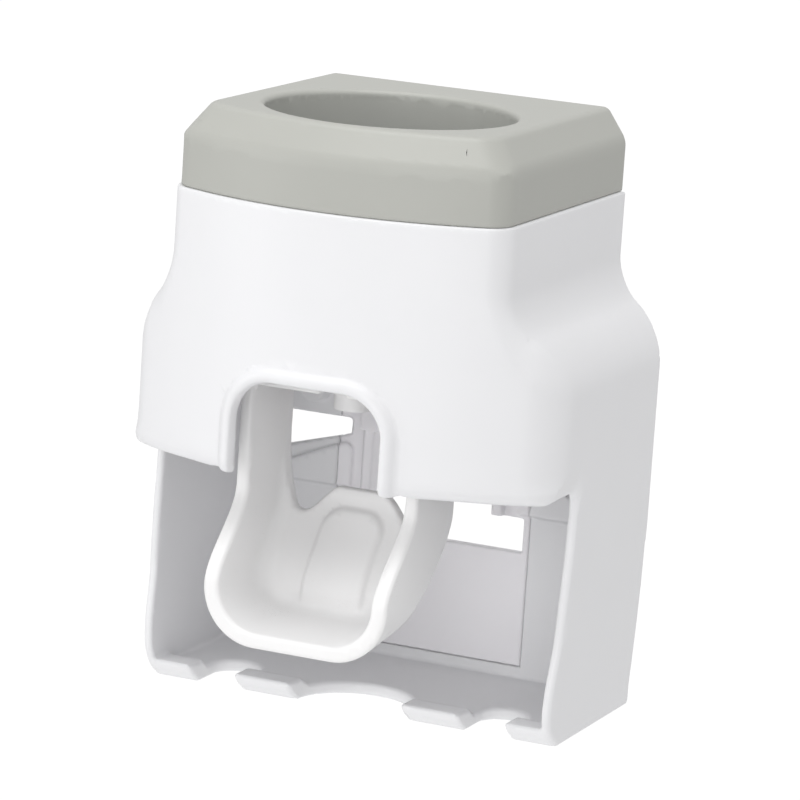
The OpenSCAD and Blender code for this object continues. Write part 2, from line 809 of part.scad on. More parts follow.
// The return spring: one unbroken wire, whose end turns run straight for one wire diameter.
coil_back_d = cap_in_d + wire_r + 0.05;
coil_front_d = piston_back_d - wire_r - 0.05;
coil_steps = 8;
coil_path = concat(
  [[coil_r, -coil_back_d, -2 * wire_r]],
  [for (i = [0:coil_turns * coil_steps])
    let (a = 360 * i / coil_steps, t = i / (coil_turns * coil_steps))
    [coil_r * cos(a), -(coil_back_d + (coil_front_d - coil_back_d) * t), coil_r * sin(a)]],
  [[coil_r, -coil_front_d, 2 * wire_r]]
);

function unit(v) = v / norm(v);
function ahead(path, i) = unit(path[min(i + 1, len(path) - 1)] - path[max(i - 1, 0)]);

// Sweeps a six-sided section along a path that winds round the Y axis.
module sweep(path, r) {
  sides = 6;
  count = len(path);
  points = [for (i = [0:count - 1])
    let (t = ahead(path, i), out = unit([path[i][0], 0, path[i][2]]))
    let (up = unit(cross(t, out)), side = cross(up, t))
    for (k = [0:sides - 1]) path[i] + r * (cos(60 * k) * side + sin(60 * k) * up)];
  walls = [for (i = [0:count - 2], k = [0:sides - 1])
    let (a = i * sides + k, b = i * sides + (k + 1) % sides)
    each [[a, b, b + sides], [a, b + sides, a + sides]]];
  last = (count - 1) * sides;
  ends = [for (k = [1:sides - 2]) each [[0, k + 1, k], [last, last + k, last + k + 1]]];
  polyhedron(points, concat(walls, ends));
}

// The least clear distance between neighbouring turns, measured on the path's points.
coil_gap = min([for (i = [0:len(coil_path) - 1], j = [i + coil_steps - 2:len(coil_path) - 1])
  norm(coil_path[i] - coil_path[j])]) - 2 * wire_r;
echo(coil_gap = coil_gap);

module return_spring() {
  color(steel) hung() translate([0, 0, pump_z]) sweep(coil_path, wire_r);
}

// An umbrella valve: a thin disc under the inlet, held by its own stem.
module inlet_valve() {
  color(silicone) hung() translate([0, -valve_d, 0]) union() {
    translate([0, 0, valve_seat_z - valve_t]) cylinder(h = valve_t, r = valve_r);
    translate([0, 0, valve_seat_z - eps]) cylinder(h = valve_web_t + 2 * eps, r = valve_stem_r - 0.02);
    translate([0, 0, inlet_low_z]) cylinder(h = 1.4, r = valve_stem_r + 0.6);
  }
}

module spout() {
  color(white) hung() difference() {
    union() {
      rod_y(spout_back_d, button_front_d - button_r, spout_body_r, 0, pump_z);
      translate([0, button_r - button_front_d, pump_z]) sphere(r = button_r);
      translate([0, -spout_d, spout_low_z]) cylinder(h = pump_z - spout_low_z, r = spout_r);
    }
    rod_y(spout_back_d - 1, stem_end_d, stem_r + 0.02, 0, pump_z);
    rod_y(stem_end_d - 1, spout_d, duct_r, 0, pump_z);
    translate([0, -spout_d, spout_low_z - 1]) cylinder(h = pump_z - spout_low_z + 3, r = outlet_r);
  }
}

// A duckbill: a short sleeve that ends in a slit.
module outlet_valve() {
  low = spout_low_z + 0.3;
  high = pump_z - stem_r - fit_gap;
  color(silicone) hung() translate([0, -spout_d, 0]) difference() {
    translate([0, 0, low]) cylinder(h = high - low, r = outlet_r - 0.02);
    translate([0, 0, low + 1.6]) cylinder(h = high - low, r = outlet_r - 1);
    translate([-1.6, -0.15, low - 1]) cube([3.2, 0.3, 4]);
  }
}

// The front and rear edges of the lever's sides, as depths at a height.
function lever_front(z) = arm_front_d + cup_reach * ease((rim_bend_z - z) / 20);
function lever_back(z) = arm_back_d + cup_lean * ease((hump_z - 1.8 - z) / 21);

// The lever's side view: a cup that leans forward, arms, and round ends at the hinge.
module lever_side() {
  heel_z = cup_low_z + heel_rise + heel_r;
  union() {
    polygon(concat(
      [for (z = steps(pivot_z - 13, cup_low_z + 3, 24)) [-lever_front(z), z]],
      [[-cup_front_d + 1, cup_low_z]],
      arc(-heel_d, heel_z, heel_r, 270, 360, 10),
      [for (z = steps(heel_z + 0.5, hump_z, 14)) [-lever_back(z), z]],
      [[-arm_back_d, pivot_z - 17], [boss_r - pivot_d, pivot_z], [-boss_r - pivot_d, pivot_z]]
    ));
    translate([-pivot_d, pivot_z]) circle(r = boss_r);
  }
}

// The lever's front view: a U whose lower corners are round.
module lever_front_view(hw, low, r) {
  high = pivot_z + boss_r + 5;
  union() {
    translate([-hw, low + r]) square([2 * hw, high - low - r]);
    translate([r - hw, low]) square([2 * (hw - r), r + 1]);
    for (side = [-1, 1]) translate([side * (hw - r), low + r]) circle(r = r);
  }
}

// The top of the cup's rear wall: a hump, a dip on each side of it, and a lip that climbs the arm.
function wall_top(x) = abs(x) < dip_x
  ? dip_z + (hump_z - dip_z) * ease((dip_x - abs(x)) / (dip_x - hump_hw))
  : dip_z + lip_h * pow((abs(x) - dip_x) / (arm_in_x - dip_x), 3);

module push_lever() {
  color(white) hung() difference() {
    union() {
      difference() {
        intersection() {
          side_view(-lever_hw, lever_hw) lever_side();
          front_view(0, body_d + 10) lever_front_view(lever_hw, cup_low_z, cup_r);
        }
        intersection() {
          side_view(-arm_in_x, arm_in_x) polygon(concat(
            [for (z = steps(cup_floor_z + heel_rise, arm_low_z, 20)) [-lever_back(z) - lever_t, z]],
            [[-2 * body_d, arm_low_z], [-2 * body_d, cup_floor_z - floor_slope * (2 * body_d - cup_front_d)]]
          ));
          front_view(0, body_d + 15) lever_front_view(arm_in_x, cup_floor_z, cup_r - lever_t);
        }
        front_view(0, body_d + 20) polygon(concat(
          [for (x = steps(-arm_in_x, arm_in_x, 40)) [x, wall_top(x)]],
          [[arm_in_x, pivot_z + 30], [-arm_in_x, pivot_z + 30]]
        ));
      }
      intersection() {
        front_view(arm_back_d, body_d + 5) union() {
          translate([-pad_hw, cup_floor_z - 1]) square([2 * pad_hw, pad_top_z - cup_floor_z - 4]);
          translate([5 - pad_hw, cup_floor_z]) square([2 * pad_hw - 10, pad_top_z - cup_floor_z]);
          for (side = [-1, 1]) translate([side * (pad_hw - 5), pad_top_z - 5]) circle(r = 5);
        }
        side_view(-pad_hw - 1, pad_hw + 1) polygon(concat(
          [for (z = steps(cup_floor_z - 1, pad_top_z + 1, 20)) [-lever_back(z) - lever_t + eps, z]],
          [for (z = steps(pad_top_z + 1, cup_floor_z - 1, 20)) [-lever_back(z) - lever_t - pad_h, z]]
        ));
      }
      box(-arm_in_x - eps, arm_in_x + eps, bar_back_d, arm_front_d, bar_low_z, bar_top_z);
    }
    box(-notch_w / 2, notch_w / 2, bar_back_d - 1, arm_front_d + 1, bar_low_z - 1, bar_low_z + notch_h);
    rod_x(-lever_hw - 1, lever_hw + 1, bush_r, pivot_d, pivot_z);
  }
}

module pivot_pins() {
  color(steel) hung() both_sides() rod_x(pin_in_x, pin_out_x, pin_r, pivot_d, pivot_z);
}

module pivot_bushes() {
  color(silicone) hung() both_sides() difference() {
    union() {
      rod_x(arm_in_x - bush_flange_t, arm_in_x, bush_r + 1.5, pivot_d, pivot_z);
      rod_x(arm_in_x - eps, lever_hw, bush_r, pivot_d, pivot_z);
    }
    rod_x(arm_in_x - 2, lever_hw + 1, pin_r + run_gap, pivot_d, pivot_z);
  }
}

module pin_clips() {
  start = lever_hw + fit_gap;
  color(steel) hung() both_sides() difference() {
    rod_x(start, start + clip_t, pin_r + 2, pivot_d, pivot_z);
    rod_x(start - 1, start + 2, pin_r, pivot_d, pivot_z);
  }
}

hood_front();
hood_sides();
back_frame();
side_walls();
tray();
back_plate();
top_collar();
tube_seat();
pump_body();
pump_rear_cap();
cap_seal();
piston();
piston_seal();
return_spring();
inlet_valve();
spout();
outlet_valve();
push_lever();
pivot_pins();
pivot_bushes();
pin_clips();
pump_screws();
back_screws();
wall_plate();
adhesive_pad();
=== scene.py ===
import math
import bpy
import numpy as np
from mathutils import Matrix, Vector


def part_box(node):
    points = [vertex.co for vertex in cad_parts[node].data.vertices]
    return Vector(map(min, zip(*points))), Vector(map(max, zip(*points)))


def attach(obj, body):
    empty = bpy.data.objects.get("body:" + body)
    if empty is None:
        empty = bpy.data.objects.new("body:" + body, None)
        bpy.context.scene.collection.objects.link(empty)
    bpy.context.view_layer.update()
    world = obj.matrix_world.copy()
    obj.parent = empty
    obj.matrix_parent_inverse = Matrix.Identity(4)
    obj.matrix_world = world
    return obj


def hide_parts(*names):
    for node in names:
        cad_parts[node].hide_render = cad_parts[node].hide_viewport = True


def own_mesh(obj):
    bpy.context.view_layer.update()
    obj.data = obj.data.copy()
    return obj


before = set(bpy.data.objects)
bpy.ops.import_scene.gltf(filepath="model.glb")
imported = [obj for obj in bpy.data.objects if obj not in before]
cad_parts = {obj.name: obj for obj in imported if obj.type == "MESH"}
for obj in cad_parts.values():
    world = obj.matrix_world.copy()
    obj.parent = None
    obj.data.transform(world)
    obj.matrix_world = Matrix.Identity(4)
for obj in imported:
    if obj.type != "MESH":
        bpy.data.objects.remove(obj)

import openvdb
from mathutils import Matrix, Vector

for spare in ("Cube", "Light", "Camera"):
    if spare in bpy.data.objects:
        bpy.data.objects.remove(bpy.data.objects[spare])
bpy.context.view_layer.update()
mm = 0.001
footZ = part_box("tray")[0].z / mm  # the tray's foot in the frame, in millimetres

# The smooth mouldings are written as distance fields: below zero is plastic, above zero is air.
# Fields work in millimetres, with heights from the tray's foot, as part.scad does.
# In each piece's dictionary a pair is a low and a high limit, or where a fade starts and ends,
# and "rounds" holds the radii of its edges and fillets.


# 0 up to start, 1 from end on, and smooth between
def fade(a, start, end):
    t = np.clip((a - start) / (end - start), 0, 1)
    return t * t * (3 - 2 * t)


# A profile that moves by each bend's reach between the bend's two heights
def bent(start, bends, z):
    return start + sum(reach * fade(z, begin, end) for reach, begin, end in bends)


def band(a, low, high):
    return np.abs(a - (low + high) / 2) - (high - low) / 2


# Both at once, with the edge that they share rounded
def both(a, b, r):
    return np.minimum(np.maximum(a, b), -r) + np.hypot(np.maximum(a + r, 0), np.maximum(b + r, 0))


# Either one, with a fillet where they meet
def either(a, b, r):
    return np.maximum(np.minimum(a, b), r) - np.hypot(np.maximum(r - a, 0), np.maximum(r - b, 0))


def without(a, b, r):
    return both(a, -b, r)


# Makes a distance across a curve into a distance at right angles to it
def leaning(curve, a, h=0.1):
    return 1 / np.sqrt(1 + ((curve(a + h) - curve(a - h)) / (2 * h)) ** 2)


def slopeOf(field, at, h):
    slope = [(field(*[at[:, k] + (h if k == j else 0) for k in range(3)])
              - field(*[at[:, k] - (h if k == j else 0) for k in range(3)])) / (2 * h) for j in range(3)]
    return np.stack(slope, axis=1)


def linked(name, data):
    made = bpy.data.objects.new(name, data)
    bpy.context.scene.collection.objects.link(made)
    return made


mould = {"quickStep": 1.6, "reach": 3.0, "turns": 3, "slopeStep": 0.02, "normalStep": 0.05,
         "leastSlope": 0.05, "longestMove": 0.5}


# A field's zero surface as a mesh whose points and normals come from the field itself
def moulded(name, field, low, high, step, adaptivity):
    m = mould
    counts = [int(math.ceil((high[k] - low[k]) / step)) + 1 for k in range(3)]
    axes = [np.float32(low[k] + step * np.arange(counts[k])) for k in range(3)]
    x, y, z = axes[0][:, None, None], axes[1][None, :, None], axes[2][None, None, :]
    far = m["reach"] * step
    values = np.broadcast_to(field(x, y, z), counts)
    values = np.ascontiguousarray(np.clip(values, -far, far), dtype=np.float32)
    grid = openvdb.FloatGrid(background=far)
    grid.copyFromArray(values)
    points, tris, quads = grid.convertToPolygons(isovalue=0.0, adaptivity=adaptivity)
    points = np.asarray(points, dtype=np.float64) * step + np.array(low)
    for turn in range(m["turns"]):
        gap = field(points[:, 0], points[:, 1], points[:, 2])
        slope = slopeOf(field, points, m["slopeStep"])
        move = slope * (gap / np.maximum((slope ** 2).sum(1), m["leastSlope"]))[:, None]
        length = np.linalg.norm(move, axis=1, keepdims=True)
        points -= move * np.minimum(1, m["longestMove"] * step / np.maximum(length, 1e-9))
    normals = slopeOf(field, points, m["normalStep"])
    normals /= np.maximum(np.linalg.norm(normals, axis=1, keepdims=True), 1e-9)
    faces = [list(map(int, f)) for f in tris] + [list(map(int, f)) for f in quads]
    a, b, c = (points[[f[k] for f in faces]] for k in range(3))
    facing = (np.cross(b - a, c - a) * normals[[f[0] for f in faces]]).sum(1)
    if facing.mean() < 0:
        faces = [f[::-1] for f in faces]
    points[:, 2] += footZ
    mesh = bpy.data.meshes.new(name)
    mesh.from_pydata((points * mm).tolist(), [], faces)
    mesh.validate()
    mesh.polygons.foreach_set("use_smooth", [True] * len(mesh.polygons))
    mesh.normals_split_custom_set_from_vertices(normals.tolist())
    print(f"{name}: {len(points)} points, {sum(len(f) - 2 for f in faces)} triangles")
    return linked(name, mesh)


# A socket that takes part in sums; each sum adds its Math node
class Wire:
    def __init__(self, recipe, socket):
        self.recipe, self.socket = recipe, socket

    def maths(self, operation, first, second):
        return self.recipe.node("ShaderNodeMath", {"operation": operation}, {0: first, 1: second})

    def __add__(self, other): return self.maths("ADD", self, other)
    def __radd__(self, other): return self.maths("ADD", other, self)
    def __sub__(self, other): return self.maths("SUBTRACT", self, other)
    def __rsub__(self, other): return self.maths("SUBTRACT", other, self)
    def __mul__(self, other): return self.maths("MULTIPLY", self, other)
    def __rmul__(self, other): return self.maths("MULTIPLY", other, self)
    def __truediv__(self, other): return self.maths("DIVIDE", self, other)
    def __rtruediv__(self, other): return self.maths("DIVIDE", other, self)


# A node tree under construction
class Recipe:
    def __init__(self, tree):
        self.tree = tree

    def node(self, kind, settings=None, sockets=None, out=0):
        made = self.tree.nodes.new(kind)
        for name, value in (settings or {}).items():
            if name == "stops":
                ramp = made.color_ramp
                while len(ramp.elements) < len(value):
                    ramp.elements.new(0.5)
                for element, (place, colour) in zip(ramp.elements, value):
                    element.position, element.color = place, colour
            else:
                setattr(made, name, value)
        for key, value in (sockets or {}).items():
            wires = value if isinstance(value, list) else [value]
            for wire in wires:
                if isinstance(wire, Wire):
                    self.tree.links.new(wire.socket, made.inputs[key])
                else:
                    made.inputs[key].default_value = wire
        return Wire(self, made.outputs[out]) if made.outputs else made


# An empty shader tree for a material or a world
def blankRecipe(owner):
    owner.use_nodes = True
    owner.node_tree.nodes.clear()
    return Recipe(owner.node_tree)


def rgba(colour, gain=1.0):
    return tuple(min(1.0, c * gain) for c in colour) + (1.0,)


# Moulded plastic: cloudy colour, a fine grain in the surface and faint patches in the gloss
def plastic(name, look):
    material = bpy.data.materials.new(name)
    r = blankRecipe(material)
    place = r.node("ShaderNodeTexCoord", out=3)
    cloud, grain, ripple = (
        r.node("ShaderNodeTexNoise", None, {"Vector": place, "Scale": look[scale], "Detail": detail})
        for scale, detail in (("cloudScale", 3.0), ("grainScale", 2.0), ("rippleScale", 1.0)))
    colour = r.node("ShaderNodeMix", {"data_type": "RGBA"}, {
        0: cloud, 6: rgba(look["colour"], 1 - look["cloudiness"]),
        7: rgba(look["colour"], 1 + look["cloudiness"])}, out=2)
    rough = look["roughness"] + (cloud - 0.5) * look["roughSpread"] + (grain - 0.5) * look["roughSpread"]
    height = grain * look["grainHeight"] + ripple * look["rippleHeight"]
    bump = r.node("ShaderNodeBump", None, {"Height": height, "Strength": 1.0, "Distance": 1.0})
    shader = r.node("ShaderNodeBsdfPrincipled", None, {
        "Base Color": colour, "Roughness": rough, "Normal": bump, "IOR": look["ior"],
        "Coat Weight": look["coat"], "Coat Roughness": look["coatRoughness"],
        "Transmission Weight": look.get("clear", 0.0)})
    r.node("ShaderNodeOutputMaterial", None, {0: shader})
    return material


satin = {"cloudScale": 60.0, "cloudiness": 0.012, "grainScale": 3600.0, "grainHeight": 4e-6,
         "rippleScale": 140.0, "rippleHeight": 1.2e-5, "roughness": 0.34, "roughSpread": 0.10,
         "ior": 1.46, "coat": 0.0, "coatRoughness": 0.1}
whiteShell = plastic("white_shell", {**satin, "colour": (0.845, 0.845, 0.86)})
# The lever's white is brighter than the shell's white: painted light that lifts the lever's rim where the
# hood shades it. The spout and the wall plate share this white.
litWhiteLever = plastic("white_lever", {**satin, "colour": (0.925, 0.92, 0.92), "roughness": 0.30})
# The back plate's white is brighter than the shell's white: painted light that lifts the plate where it sits
# in shade under the hood
litWhiteBack = plastic("white_back", {**satin, "colour": (0.94, 0.925, 0.95), "roughness": 0.42})
# The pump's parts take a darkened white: painted shade for the shadowed inside of the housing
shadedWhiteInner = plastic("white_inner", {**satin, "colour": (0.56, 0.535, 0.535), "roughness": 0.45})
greyCollar = plastic("grey_collar", {**satin, "colour": (0.455, 0.458, 0.425), "roughness": 0.40,
                                     "grainHeight": 9e-6, "cloudiness": 0.02})
silicone = plastic("silicone", {**satin, "colour": (0.72, 0.75, 0.78), "roughness": 0.5, "clear": 0.25})


# Metal with fine lines drawn across it
def metal(name, look):
    material = bpy.data.materials.new(name)
    r = blankRecipe(material)
    place = r.node("ShaderNodeTexCoord", out=3)
    lines = r.node("ShaderNodeMapping", None, {"Vector": place, "Scale": look["lineScale"]})
    drawn = r.node("ShaderNodeTexNoise", None, {"Vector": lines, "Scale": 1.0, "Detail": 3.0})
    colour = r.node("ShaderNodeMix", {"data_type": "RGBA"}, {
        0: drawn, 6: rgba(look["colour"], look["dark"]), 7: rgba(look["colour"], look["light"])}, out=2)
    bump = r.node("ShaderNodeBump", None, {
        "Height": drawn * look["lineHeight"], "Strength": 1.0, "Distance": 1.0})
    shader = r.node("ShaderNodeBsdfPrincipled", None, {
        "Base Color": colour, "Roughness": look["roughness"] + (drawn - 0.5) * look["roughSpread"],
        "Normal": bump, "Metallic": 1.0})
    r.node("ShaderNodeOutputMaterial", None, {0: shader})
    return material


steel = metal("steel", {"colour": (0.62, 0.63, 0.65), "dark": 0.9, "light": 1.08, "roughness": 0.28,
                        "roughSpread": 0.15, "lineScale": (900.0, 250.0, 900.0), "lineHeight": 6e-6})


# Foam tape: open cells
def foamTape(name, look):
    material = bpy.data.materials.new(name)
    r = blankRecipe(material)
    place = r.node("ShaderNodeTexCoord", out=3)
    cells = r.node("ShaderNodeTexVoronoi", None, {"Vector": place, "Scale": look["cellScale"]})
    stops = [(0.1, rgba(look["dark"])), (0.7, rgba(look["light"]))]
    colour = r.node("ShaderNodeValToRGB", {"stops": stops}, {0: cells})
    bump = r.node("ShaderNodeBump", None, {
        "Height": cells * look["cellDepth"], "Strength": 0.8, "Distance": 1.0})
    shader = r.node("ShaderNodeBsdfPrincipled", None, {
        "Base Color": colour, "Roughness": 0.9, "Normal": bump})
    r.node("ShaderNodeOutputMaterial", None, {0: shader})
    return material


foam = foamTape("foam", {"cellScale": 1800.0, "cellDepth": 2e-4, "dark": (0.05, 0.052, 0.06),
                         "light": (0.13, 0.135, 0.15)})


# Housing: hood, side walls, tray and back frame in one moulding
housing = {
    # seen from the front
    "bodyHalf": 52.5, "footHalf": 51.0, "leanZ": (5.0, 45.0), "neckHalf": 40.8, "rimZ": 121.0,
    "ridgeZ": 89.9, "shoulderX": 0.657, "shoulderZ": 0.754,  # the shoulder's direction outward
    # seen from above: the front is one arc
    "frontRadius": 80.0, "frontY": -2.0, "cornerLow": 1.3, "cornerHood": 6.5, "cornerNeck": 4.0,
    "hoodFade": (54.0, 66.0), "neckFade": (88.0, 100.0),
    # hood's lower edge and the lip behind it
    "skirtZ": 59.05, "skirtRise": 0.6, "skirtFade": (50.0, 30.0), "wall": 2.2,
    "lip": 4.0, "lipHeight": 2.4, "lipClear": 6.0,
    # side walls' front edge
    "wallFront": 47.5, "wallBends": ((1.7, 56.0, 26.0), (2.3, 28.0, 12.0)),
    # tray
    "floorTop": 3.0, "floorFront": 46.5, "hookRise": 2.2, "hookFade": (38.8, 43.8),
    "slotX": 34.0, "slotY": -36.1, "slotRadius": 5.6, "cutY": -44.5, "cutRadius": 13.9,
    # arch
    "archHalf": 17.8, "archTop": 81.7, "archDepth": 58.0, "beadRadius": 1.65, "beadLow": 0.1,
    # back
    "backDepth": 4.9, "backGap": 2.4, "recessZ": (3.0, 118.8),
    "openingHalf": 24.93, "openingDepth": 6.3, "openingZ": (5.85, 98.1),
    "ventX": (22.2, 42.0), "ventTop": 59.0, "ventLow": 55.2, "ventLean": 0.288, "ventDepth": 9.0,
    "panelX": (21.3, 42.0), "panelZ": (42.5, 54.2), "panelLean": 0.43, "panelLeanCos": 0.92,
    "panelDepth": (3.5, 6.1), "panelEnd": 24.2,
    "bossX": 31.0, "bossZ": (66.0, 92.0), "bossRadius": 3.5, "bossDepth": (4.1, 9.9),
    "holeRadius": 1.25, "holeDepth": 8.9,
    "rounds": {"ridge": 6.0, "crease": 4.5, "arch": 9.5, "vent": 0.5, "panelCorner": 3.2, "panelSide": 1.0,
               "panelEdge": 0.8, "panelFace": 0.6, "panelEnd": 0.1, "panelFoot": 0.5,
               "skirt": 3.2, "nose": 10.5, "foot": 3.2, "hoodFoot": 1.5, "rim": 0.6, "back": 0.9,
               "hollow": 4.3, "hollowBack": 1.0, "lip": 0.8, "lipEnd": 2.0, "slot": 1.1, "floor": 1.0,
               "inside": 0.9, "beadEnd": 1.2, "beadFoot": 0.7, "archBack": 1.0, "archEdge": 0.8,
               "recess": 0.6, "recessEdge": 0.4, "opening": 0.3, "openingEdge": 0.12, "ventEdge": 0.5,
               "boss": 0.5, "bossFoot": 0.8, "hole": 0.2},
    "step": 0.52, "adaptivity": 0.05,
}


def sideOf(x, z):
    h, r = housing, housing["rounds"]
    leanLow, leanHigh = h["leanZ"]
    rise = np.clip((z - leanLow) / (leanHigh - leanLow), 0, 1)
    wall = np.abs(x) - h["footHalf"] - (h["bodyHalf"] - h["footHalf"]) * rise * (1.5 - 0.5 * rise)
    slope = (np.abs(x) - h["bodyHalf"]) * h["shoulderX"] + (z - h["ridgeZ"]) * h["shoulderZ"]
    return either(np.abs(x) - h["neckHalf"], both(wall, slope, r["ridge"]), r["crease"])


def arcOf(x, y, radius):
    return np.hypot(x, y - housing["frontY"]) - radius


def archOf(x, z):
    h = housing
    return both(np.abs(x) - h["archHalf"], z - h["archTop"], h["rounds"]["arch"])


def ventOf(x, z):
    h, ax = housing, np.abs(x)
    r = h["rounds"]["vent"]
    slant = h["ventLow"] - h["ventLean"] * (ax - h["ventX"][0]) - z
    return both(band(ax, *h["ventX"]), both(z - h["ventTop"], slant, r), r)


# Shallow raised panel beside the back's window, shared by the housing and the back plate
def panelOf(ax, depth, z):
    h, r = housing, housing["rounds"]
    (inner, outer), (low, high) = h["panelX"], h["panelZ"]
    top = (z - high + h["panelLean"] * (ax - inner)) * h["panelLeanCos"]
    face = both(both(inner - ax, top, r["panelCorner"]), both(ax - outer, low - z, r["panelSide"]),
                r["panelEdge"])
    return both(face, band(depth, *h["panelDepth"]), r["panelFace"])


def housingField(x, y, z):
    h, r = housing, housing["rounds"]
    ax, depth = np.abs(x), -y
    side = sideOf(x, z)
    arc = arcOf(x, y, h["frontRadius"])
    # outside
    skirt = h["skirtZ"] + h["skirtRise"] * fade(ax, *h["skirtFade"])
    hood = both(arc, skirt - z, r["skirt"])
    walls = both(depth - bent(h["wallFront"], h["wallBends"], z), -z, r["nose"])
    floorEdge = both(depth - h["floorFront"], -z, r["foot"])
    outside = np.minimum(either(hood, walls, r["hoodFoot"]), floorEdge)
    corner = (h["cornerLow"] + (h["cornerHood"] - h["cornerLow"]) * fade(z, *h["hoodFade"])
              + (h["cornerNeck"] - h["cornerHood"]) * fade(z, *h["neckFade"]))
    outside = both(both(both(outside, side, corner), z - h["rimZ"], r["rim"]), y, r["back"])
    # walls round the hollow, lip under the hood, floor with hooks
    hollow = both(both(side + h["wall"], arc + h["wall"], r["hollow"]), y + h["backDepth"], r["hollowBack"])
    lip = both(z - skirt - h["lipHeight"], -arc - h["lip"], r["lip"])
    lip = without(lip, archOf(x, z) - h["lipClear"], r["lipEnd"])
    floor = z - h["floorTop"] - h["hookRise"] * fade(depth, *h["hookFade"])
    slot = np.hypot(ax - h["slotX"], np.maximum(y - h["slotY"], 0)) - h["slotRadius"]
    cut = np.hypot(x, np.maximum(y - h["cutY"], 0)) - h["cutRadius"]
    floor = without(without(floor, slot, r["slot"]), cut, r["slot"])
    filled = either(either(-hollow, lip, r["floor"]), floor, r["floor"])
    body = both(outside, filled, r["inside"])
    # bead, then the arch through it
    arch = archOf(x, z)
    bead = np.hypot(arch - h["beadRadius"], hood) - h["beadRadius"]
    bead = both(np.maximum(bead, -arc - r["skirt"]), skirt - h["beadLow"] - z, r["beadEnd"])
    body = either(body, bead, r["beadFoot"])
    body = without(body, both(arch, y + h["archDepth"], r["archBack"]), r["archEdge"])
    # back: recess, opening for the back plate, side windows, stiffening panels, screw bosses
    recess = both(both(side + h["wall"], -h["backGap"] - y, r["recess"]), band(z, *h["recessZ"]), r["recess"])
    body = without(body, recess, r["recessEdge"])
    panel = both(panelOf(ax, depth, z), h["panelEnd"] - ax, r["panelEnd"])
    body = either(body, panel, r["panelFoot"])
    opening = both(both(ax - h["openingHalf"], depth - h["openingDepth"], r["opening"]),
                   band(z, *h["openingZ"]), r["opening"])
    body = without(body, opening, r["openingEdge"])
    body = without(body, np.maximum(ventOf(x, z), depth - h["ventDepth"]), r["ventEdge"])
    for bossZ in h["bossZ"]:
        ring = np.hypot(ax - h["bossX"], z - bossZ)
        boss = both(ring - h["bossRadius"], band(depth, *h["bossDepth"]), r["boss"])
        body = either(body, boss, r["bossFoot"])
        body = without(body, both(ring - h["holeRadius"], depth - h["holeDepth"], r["hole"]), r["hole"])
    return body


print("housing")
shell = moulded("housing_shell", housingField, (-54, -85.5, -1.5), (54, 1.5, 122.5),
                housing["step"], housing["adaptivity"])
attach(shell, "unit")
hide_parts("hood_front", "hood_sides", "back_frame", "side_walls", "tray")
shell.data.materials.append(whiteShell)


# Collar: upright band, sloping band, round hole with a sleeve, spigot that drops into the housing
collar = {
    "half": 40.0, "frontRadius": 79.2, "lowZ": 121.0, "kneeZ": 133.0, "topZ": 140.0,
    "leanX": 0.8137, "leanZ": 0.5812, "wall": 2.2, "topWall": 2.5,
    "holeRadius": 28.4, "holeY": -44.7, "holeFade": (134.0, 137.0),
    "sleeveWall": 1.2, "sleeveZ": (121.2, 138.5),
    "spigotZ": (116.0, 123.2), "spigotOut": 2.4, "spigotIn": 4.0, "spigotGap": 0.2,
    "webZ": (121.1, 123.1), "webInset": 0.5,
    "rounds": {"crease": 0.9, "corner": 3.6, "back": 1.0, "top": 0.9, "foot": 0.4, "innerCorner": 2.0,
               "innerBack": 1.0, "innerTop": 0.8, "inside": 0.5, "sleeve": 0.5, "sleeveFoot": 0.8,
               "spigotOut": 1.7, "spigotIn": 1.2, "spigotBack": 0.8, "spigot": 0.6, "web": 0.5,
               "webFace": 0.4, "holeLow": 0.4, "holeRim": 1.3},
    "step": 0.42, "adaptivity": 0.04,
}


# The housing's rim in plan, drawn in by inset
def planOf(x, y, inset, corner):
    h, c = housing, collar
    ring = both(np.abs(x) - h["neckHalf"] + inset, arcOf(x, y, h["frontRadius"]) + inset, corner)
    back = y + h["backDepth"] + c["spigotGap"] + inset - c["spigotOut"]
    return both(ring, back, c["rounds"]["spigotBack"])


def collarField(x, y, z):
    c, r = collar, collar["rounds"]
    side = np.abs(x) - c["half"]
    front = arcOf(x, y, c["frontRadius"])
    rise = (z - c["kneeZ"]) * c["leanZ"]
    side = both(side, side * c["leanX"] + rise, r["crease"])
    front = both(front, front * c["leanX"] + rise, r["crease"])
    block = both(both(both(side, front, r["corner"]), y, r["back"]), z - c["topZ"], r["top"])
    block = both(block, c["lowZ"] - z, r["foot"])
    inner = both(both(side + c["wall"], front + c["wall"], r["innerCorner"]), y + c["wall"], r["innerBack"])
    inner = both(inner, z - c["topZ"] + c["topWall"], r["innerTop"])
    body = without(block, inner, r["inside"])
    hole = np.hypot(x, y - c["holeY"]) - c["holeRadius"]
    sleeve = both(hole - c["sleeveWall"], band(z, *c["sleeveZ"]), r["sleeve"])
    body = either(body, sleeve, r["sleeveFoot"])
    outer = planOf(x, y, c["spigotOut"], r["spigotOut"])
    core = planOf(x, y, c["spigotIn"], r["spigotIn"])
    spigot = both(both(outer, -core, r["spigot"]), band(z, *c["spigotZ"]), r["spigot"])
    web = both(both(block + c["webInset"], -core, r["web"]), band(z, *c["webZ"]), r["webFace"])
    body = either(body, either(spigot, web, r["web"]), r["web"])
    edge = r["holeLow"] + (r["holeRim"] - r["holeLow"]) * fade(z, *c["holeFade"])
    return without(body, hole, edge)


print("collar")
topRing = moulded("collar_shell", collarField, (-41.37, -82.41, 115.1), (41.5, 1.5, 141.5),
                  collar["step"], collar["adaptivity"])
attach(topRing, "collar")
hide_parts("top_collar")
topRing.data.materials.append(greyCollar)


